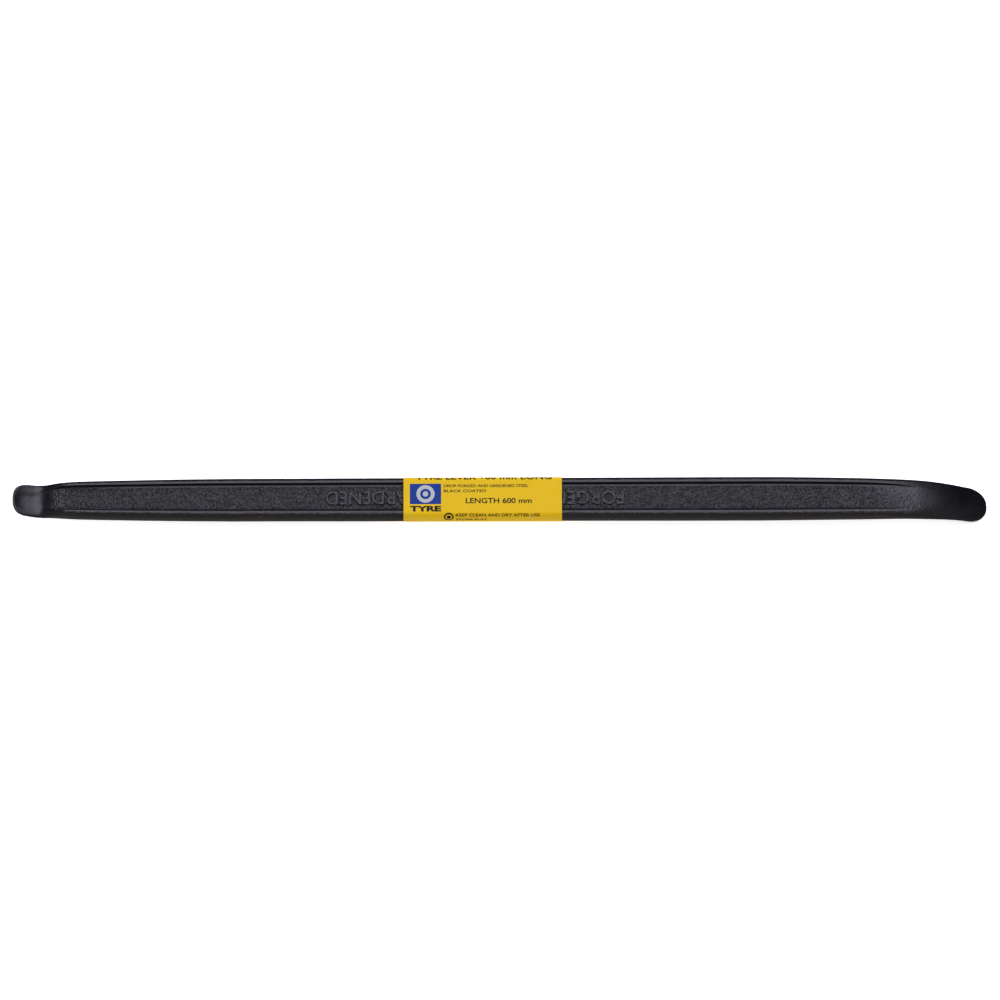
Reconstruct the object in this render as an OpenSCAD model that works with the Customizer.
// Forged tyre lever with a flanged shaft, a scoop at one end and a hooked spoon at the other.
// X runs along the lever, Y across its broad face, and Z up out of the lettered face.
// The lever lies with that face up, and the origin is under its middle, at its lowest point.

/* [Lever] */
// Overall length, from tip to tip
lever_length = 600; // [500:10:750]
// Width of the shaft under the label
shaft_width = 26.5; // [25.1:0.2:28.9]
// Thickness of the shaft over the flanges
shaft_thickness = 13.2; // [12:0.2:14]
// How much wider the shaft is at its hooked half than at its scooped half
shaft_growth = 0.3; // [0:0.1:0.6]

/* [Recess] */
// Depth of the recess below the flange crests, on each face
recess_depth = 2.7; // [2.3:0.1:3.0]
// Radius between the floor of the recess and a flange
recess_fillet = 2.6; // [2.2:0.1:3.0]
// Radius of a flange's inner edge
crest_radius = 1.0; // [0.8:0.1:1.3]

/* [Scooped end] */
// Upward slope of the scoop at its tip
scoop_angle = 25; // [16:1:28]
// Slope of the neck that leads down to the scoop
neck_angle = 10; // [6:1:14]
// Thickness of the scoop at its neck
neck_thickness = 6.0; // [5:0.2:7]
// Thickness of the scoop near its tip
scoop_tip_thickness = 4.0; // [3.6:0.2:4.6]

/* [Hooked end] */
// Downward slope of the spoon at its tip
hook_angle = 38; // [30:1:40]
// Downward slope where the long bend passes into the short one
bend_angle = 18; // [12:1:20]
// Slight downward slope of the shaft before the bend
droop_angle = 2.5; // [0:0.5:4]
// Thickness of the spoon at its neck
spoon_thickness = 6.0; // [5:0.2:7]
// Thickness of the spoon near its tip
spoon_tip_thickness = 4.4; // [4:0.2:5]

/* [Raised letters] */
// Height of a capital letter
letter_height = 8.8; // [8:0.1:9.2]
// Width of a letter
letter_width = 6.2; // [5.6:0.1:6.6]
// Width of a letter's strokes
letter_stroke = 1.7; // [1.4:0.1:1.8]
// Distance from one letter to the next
letter_pitch = 7.5; // [7.2:0.1:8]
// How far the letters stand above the floor of the recess
letter_relief = 0.5; // [0.3:0.1:0.8]

/* [Label] */
// Length of the printed wrap along the shaft
label_length = 98; // [80:1:110]
// Distance of the wrap's middle from the lever's middle, towards the scooped end
label_offset = 11; // [0:1:20]
// Thickness of the wrap
label_thickness = 0.35; // [0.2:0.05:0.5]
// Room under the wrap for its adhesive
adhesive_gap = 0.15; // [0.05:0.05:0.2]
// Width over which the wrap's outer end laps its inner end, on the back
label_lap = 8; // [5:1:12]

/* [Hidden] */

coating_colour = "#1c1d20";
label_colour = "#dfb12a";
// How far a tip's rounded edge reaches past the end of the centreline
tip_reach = 0.265;
half_length = lever_length / 2 - tip_reach;

// Distances from the scooped tip at which its parts begin and end
scoop_straight = 9;
scoop_bottom = 18;
neck_middle = 28;
neck_end = 50;
scoop_thins_from = 31;
scoop_thins_to = 17;
scoop_taper_length = 140;
scoop_taper_reach = 105;
scoop_taper_depth = 1.7;
scoop_taper_power = 1.6;
scoop_waist_depth = 0.75;
scoop_waist_start = 18;
scoop_waist_end = 42;
scoop_tip_length = 10;
scoop_tip_bluntness = 2.8;

// Distances from the hooked tip at which its parts begin and end
hook_straight = 13;
bend_change = 24;
bend_start = 52;
droop_start = 125;
spoon_thins_from = 85;
spoon_thins_to = 15;
spoon_taper_length = 135;
spoon_taper_reach = 93;
spoon_taper_depth = 1.3;
spoon_taper_power = 1.2;
spoon_waist_depth = 0.9;
spoon_waist_start = 10;
spoon_waist_end = 42;
spoon_tip_length = 11.5;
spoon_tip_bluntness = 2.15;

// Where the shaft grows to its full width, measured from the lever's middle
hook_growth_start = 45;
hook_growth_end = 130;
scoop_growth_start = -70;
scoop_growth_end = -150;

// Parts of the section, as shares of its half width
shaft_side_share = 0.275;
spoon_side_share = 0.5;
crest_land_share = 0.05;
dish_radius_share = 1.6;
dish_edge_share = 0.1;
scoop_dish_share = 0.11;
spoon_dish_share = 0.05;
least_depth_share = 0.002;

// Points along each arc of a quarter of the section
fillet_steps = 3;
edge_steps = 2;
side_steps = 5;

// The letters start into the floor of the recess, so that they grow out of it
letter_root = 0.4;
// Where each word begins; the words read with the hooked end on the left
first_word_start = 76.2;
second_word_start = -48.7;

function clamp01(t) = min(1, max(0, t));
function ease(a, b, x) = let (t = clamp01((x - a) / (b - a))) t * t * (3 - 2 * t);
function mix(p, q, t) = p + (q - p) * t;
function reversed(list) = [for (i = [len(list) - 1:-1:0]) list[i]];

// ---- Centreline ----
// Each entry is a place along X and the slope there, and a circular arc joins it to the next
knots = [
    [-half_length, -scoop_angle],
    [-half_length + scoop_straight, -scoop_angle],
    [-half_length + scoop_bottom, 0],
    [-half_length + neck_middle, neck_angle],
    [-half_length + neck_end, 0],
    [half_length - droop_start, 0],
    [half_length - bend_start, -droop_angle],
    [half_length - bend_change, -bend_angle],
    [half_length - hook_straight, -hook_angle],
    [half_length, -hook_angle]
];
shaft_knot = 4;

// The chord of an arc slopes at the mean of the slopes at its ends
function rise_to(i) = i == 0 ? 0
    : rise_to(i - 1) + (knots[i][0] - knots[i - 1][0]) * tan((knots[i][1] + knots[i - 1][1]) / 2);
function knot_before(x, i = 0) = i >= len(knots) - 2 || x < knots[i + 1][0] ? i : knot_before(x, i + 1);
function slope_at(x) = let (
        i = knot_before(x),
        part = (x - knots[i][0]) / (knots[i + 1][0] - knots[i][0])
    ) asin(mix(sin(knots[i][1]), sin(knots[i + 1][1]), clamp01(part)));
function height_at(x) = let (i = knot_before(x))
    rise_to(i) - rise_to(shaft_knot) + (x - knots[i][0]) * tan((knots[i][1] + slope_at(x)) / 2);

// ---- Section ----
// A tip is round in plan and rounded over its edge
function tip_plan(d, length, bluntness) = d >= length ? 1
    : pow(1 - pow(1 - d / length, bluntness), 1 / bluntness);
function tip_edge(d, radius) = d >= radius ? 1 : sqrt(1 - pow(1 - d / radius, 2));

function shaft_half_width(x) = shaft_width / 2
    + shaft_growth / 2 * (ease(hook_growth_start, hook_growth_end, x)
        - ease(-scoop_growth_start, -scoop_growth_end, -x));
function half_width(x) = let (
        from_scoop = x + half_length,
        from_hook = half_length - x,
        scoop_part = max(0, (scoop_taper_length - from_scoop) / scoop_taper_reach),
        spoon_part = max(0, (spoon_taper_length - from_hook) / spoon_taper_reach),
        scoop_taper = scoop_taper_depth * pow(scoop_part, scoop_taper_power),
        spoon_taper = spoon_taper_depth * pow(spoon_part, spoon_taper_power),
        scoop_waist = scoop_waist_depth * (1 - ease(scoop_waist_start, scoop_waist_end, from_scoop)),
        spoon_waist = spoon_waist_depth * (1 - ease(spoon_waist_start, spoon_waist_end, from_hook))
    )
    (shaft_half_width(x) - scoop_taper - scoop_waist - spoon_taper - spoon_waist)
    * tip_plan(from_scoop, scoop_tip_length, scoop_tip_bluntness)
    * tip_plan(from_hook, spoon_tip_length, spoon_tip_bluntness);

// 0 on the shaft and 1 on the thin part of either end
function thinness(x) = 1 - ease(scoop_thins_to, scoop_thins_from, x + half_length)
    * ease(spoon_thins_to, spoon_thins_from, half_length - x);
function end_thickness(x) = x < 0
    ? mix(scoop_tip_thickness, neck_thickness, clamp01((x + half_length) / scoop_bottom))
    : mix(spoon_tip_thickness, spoon_thickness, clamp01((half_length - x) / bend_change));
function half_thickness(x) = mix(shaft_thickness, end_thickness(x), thinness(x)) / 2
    * tip_edge(x + half_length, scoop_tip_thickness / 2)
    * tip_edge(half_length - x, spoon_tip_thickness / 2);

// The floor of the recess stays at its own height, so the flanges fade out as the ends get thin
function recess_depth_at(x) = let (
        flange = half_thickness(x) - (shaft_thickness / 2 - recess_depth)
    ) max(flange, half_width(x) * least_depth_share);
// The scoop is dished on its front, and the spoon on its back
function dish_at(x) = (x < 0 ? scoop_dish_share : spoon_dish_share) * half_width(x)
    * pow(thinness(x), 2);
function front_depth(x) = max(recess_depth_at(x), x < 0 ? dish_at(x) : 0);
function back_depth(x) = max(recess_depth_at(x), x > 0 ? dish_at(x) : 0);

// A quarter of the section, from the floor of the recess over the flange to the widest point
function quarter(x, depth) = let (
        w = half_width(x),
        h = half_thickness(x),
        thin = pow(thinness(x), 2),
        side = w * mix(shaft_side_share, spoon_side_share, thin),
        crest_out = w - side,
        crest_in = crest_out - w * crest_land_share,
        fillet = mix(recess_fillet, w * dish_radius_share, thin),
        edge = mix(crest_radius, w * dish_edge_share, thin),
        wall = acos(1 - depth / (fillet + edge)),
        floor_edge = crest_in - (fillet + edge) * sin(wall)
    ) concat(
        [for (i = [0:fillet_steps]) let (a = wall * i / fillet_steps)
            [floor_edge + fillet * sin(a), h - depth + fillet * (1 - cos(a))]],
        [for (i = [1:edge_steps]) let (a = wall * (1 - i / edge_steps))
            [crest_in - edge * sin(a), h - edge * (1 - cos(a))]],
        [[crest_out, h]],
        [for (i = [1:side_steps]) let (a = 90 * i / side_steps)
            [crest_out + side * sin(a), h * cos(a)]]
    );

// The whole section in order: right front, left front, left back, right back
function ring(x) = let (
        front = quarter(x, front_depth(x)),
        back = quarter(x, back_depth(x)),
        open_back = [for (i = [0:len(back) - 2]) back[i]]
    ) concat(
        reversed(front),
        [for (p = front) [-p[0], p[1]]],
        [for (p = reversed(open_back)) [-p[0], -p[1]]],
        [for (p = open_back) [p[0], -p[1]]]
    );
function on_centreline(x, y, n) = let (slope = slope_at(x))
    [x - n * sin(slope), y, height_at(x) + n * cos(slope)];

// ---- Stations along the lever, close together where its shape changes ----
first_gap = 0.02;
tip_steps = 8;
scoop_stations = concat(
    [first_gap],
    [for (i = [1:tip_steps]) scoop_tip_length * (1 - cos(90 * i / tip_steps))],
    [for (d = [12.5:2.5:40]) d],
    [46, 54, 64, 78, 94, 115, scoop_taper_length]
);
spoon_stations = concat(
    [first_gap],
    [for (i = [1:tip_steps]) spoon_tip_length * (1 - cos(90 * i / tip_steps))],
    [for (d = [14:3:65]) d],
    [70, 77, 85, 103, droop_start, spoon_taper_length]
);
shaft_stations = [-100, -70, 45, 75, 105];
stations = concat(
    [for (d = scoop_stations) d - half_length],
    [for (x = shaft_stations) x],
    [for (d = reversed(spoon_stations)) half_length - d]
);

rings = [for (x = stations) [for (p = ring(x)) on_centreline(x, p[0], p[1])]];
last = len(stations) - 1;
lowest_point = min([for (r = rings) for (p = r) p[2]]);
middle_x = (min([for (r = rings) for (p = r) p[0]]) + max([for (r = rings) for (p = r) p[0]])) / 2;

// Skin of a row of rings, closed by a fan at each end
module skin(rings, first_middle, last_middle) {
    count = len(rings);
    size = len(rings[0]);
    sides = [for (i = [0:count - 2]) for (j = [0:size - 1]) let (
            a = i * size + j,
            b = i * size + (j + 1) % size
        ) each [[b, a, b + size], [b + size, a, a + size]]];
    first_fan = [for (j = [0:size - 1]) [count * size, j, (j + 1) % size]];
    last_fan = [for (j = [0:size - 1]) let (start = (count - 1) * size)
        [count * size + 1, start + (j + 1) % size, start + j]];
    polyhedron(
        points = concat([for (r = rings) each r], [first_middle, last_middle]),
        faces = concat(sides, first_fan, last_fan),
        convexity = 6
    );
}

// ---- Letters ----
module rounded_block(width, height, radius) {
    translate([radius, 0]) square([width - 2 * radius, height]);
    translate([0, radius]) square([width, height - 2 * radius]);
    for (x = [radius, width - radius]) {
        for (y = [radius, height - radius]) {
            translate([x, y]) circle(r = radius, $fn = 32);
        }
    }
}

bowl_radius = 2.6;
module stem(x = 0) {
    translate([x, 0]) square([letter_stroke, letter_height]);
}
module bar(y, width = letter_width) {
    translate([0, y]) square([width, letter_stroke]);
}
module top_bar(width = letter_width) {
    bar(letter_height - letter_stroke, width);
}
module middle_bar(width = letter_width) {
    bar((letter_height - letter_stroke) / 2, width);
}
module bowl(height) {
    s = letter_stroke;
    difference() {
        union() {
            rounded_block(letter_width, height, bowl_radius);
            square([letter_width / 2, height]);
        }
        translate([s, s]) rounded_block(letter_width - 2 * s, height - 2 * s, bowl_radius - s);
    }
}

module letter_a() {
    s = letter_stroke;
    foot = s * 1.1;
    middle = letter_width / 2;
    polygon([[0, 0], [foot, 0], [middle + s / 2, letter_height], [middle - s / 2, letter_height]]);
    polygon([[letter_width, 0], [letter_width - foot, 0], [middle - s / 2, letter_height],
        [middle + s / 2, letter_height]]);
    translate([s, s]) square([letter_width - 2 * s, s * 0.9]);
}
module letter_d() {
    bowl(letter_height);
}
module letter_e() {
    stem();
    bar(0);
    middle_bar(letter_width * 0.85);
    top_bar();
}
module letter_f() {
    stem();
    middle_bar(letter_width * 0.85);
    top_bar();
}
module letter_g() {
    s = letter_stroke;
    middle = letter_height / 2;
    difference() {
        letter_o();
        translate([letter_width / 2, middle]) square([letter_width, s]);
    }
    translate([letter_width / 2, middle - s]) square([letter_width / 2, s]);
}
module letter_h() {
    stem();
    stem(letter_width - letter_stroke);
    middle_bar();
}
module letter_n() {
    s = letter_stroke;
    stem();
    stem(letter_width - s);
    polygon([[0, letter_height], [s, letter_height], [letter_width, 0], [letter_width - s, 0]]);
}
module letter_o() {
    s = letter_stroke;
    difference() {
        rounded_block(letter_width, letter_height, bowl_radius);
        translate([s, s])
            rounded_block(letter_width - 2 * s, letter_height - 2 * s, bowl_radius - s);
    }
}
module letter_r() {
    s = letter_stroke;
    half = (letter_height - s) / 2;
    stem();
    translate([0, half]) bowl(half + s);
    polygon([[letter_width, 0], [letter_width - s * 1.2, 0], [s, half + s / 2], [s * 2.2, half + s / 2]]);
}
module letter(name) {
    if (name == "A") letter_a();
    if (name == "D") letter_d();
    if (name == "E") letter_e();
    if (name == "F") letter_f();
    if (name == "G") letter_g();
    if (name == "H") letter_h();
    if (name == "N") letter_n();
    if (name == "O") letter_o();
    if (name == "R") letter_r();
}

// A word in raised letters that starts at x and reads towards the scooped end
module raised_word(letters, x) {
    floor_height = shaft_thickness / 2 - recess_depth;
    for (i = [0:len(letters) - 1]) {
        translate([x - i * letter_pitch, letter_height / 2, floor_height - letter_root])
            rotate([0, 0, 180])
                linear_extrude(height = letter_root + letter_relief)
                    letter(letters[i]);
    }
}

// ---- Nodes ----
module lever_forging() {
    color(coating_colour)
        translate([-middle_x, 0, -lowest_point]) {
            skin(rings,
                on_centreline(stations[0], 0, 0),
                on_centreline(stations[last], 0, 0));
            raised_word("FORGED", first_word_start);
            raised_word("HARDENED", second_word_start);
        }
}

// A point of the wrap at a distance off the steel: [y, z, outward y, outward z, layers below it]
function wrap_point(p, off) = let (
        outward = [p[2], p[3]] / norm([p[2], p[3]]),
        distance = off + p[4] * (label_thickness + adhesive_gap)
    ) [p[0], p[1]] + outward * distance;

// The wrap starts on the back, goes once round over the flange crests and laps its own start
module label_film() {
    w = shaft_width / 2;
    h = shaft_thickness / 2;
    side = w * shaft_side_share;
    crest = w - side;
    steps = 2 * side_steps;
    lap_step = 0.8;
    near_side = [for (i = [0:steps]) let (a = 180 * i / steps)
        [-crest - side * sin(a), -h * cos(a), -sin(a) / side, -cos(a) / h, 0]];
    far_side = [for (p = reversed(near_side)) [-p[0], p[1], -p[2], p[3], 0]];
    path = concat(
        [[label_lap / 2, -h, 0, -1, 0]],
        near_side,
        far_side,
        [[label_lap / 2 + lap_step, -h, 0, -1, 0],
        [label_lap / 2, -h, 0, -1, 1],
        [-label_lap / 2, -h, 0, -1, 1]]
    );
    inside = [for (p = path) wrap_point(p, adhesive_gap)];
    outside = [for (p = path) wrap_point(p, adhesive_gap + label_thickness)];
    color(label_colour)
        translate([-middle_x - label_offset - label_length / 2, 0, -lowest_point])
            rotate([90, 0, 90])
                linear_extrude(height = label_length)
                    polygon(concat(inside, reversed(outside)));
}

lever_forging();
label_film();
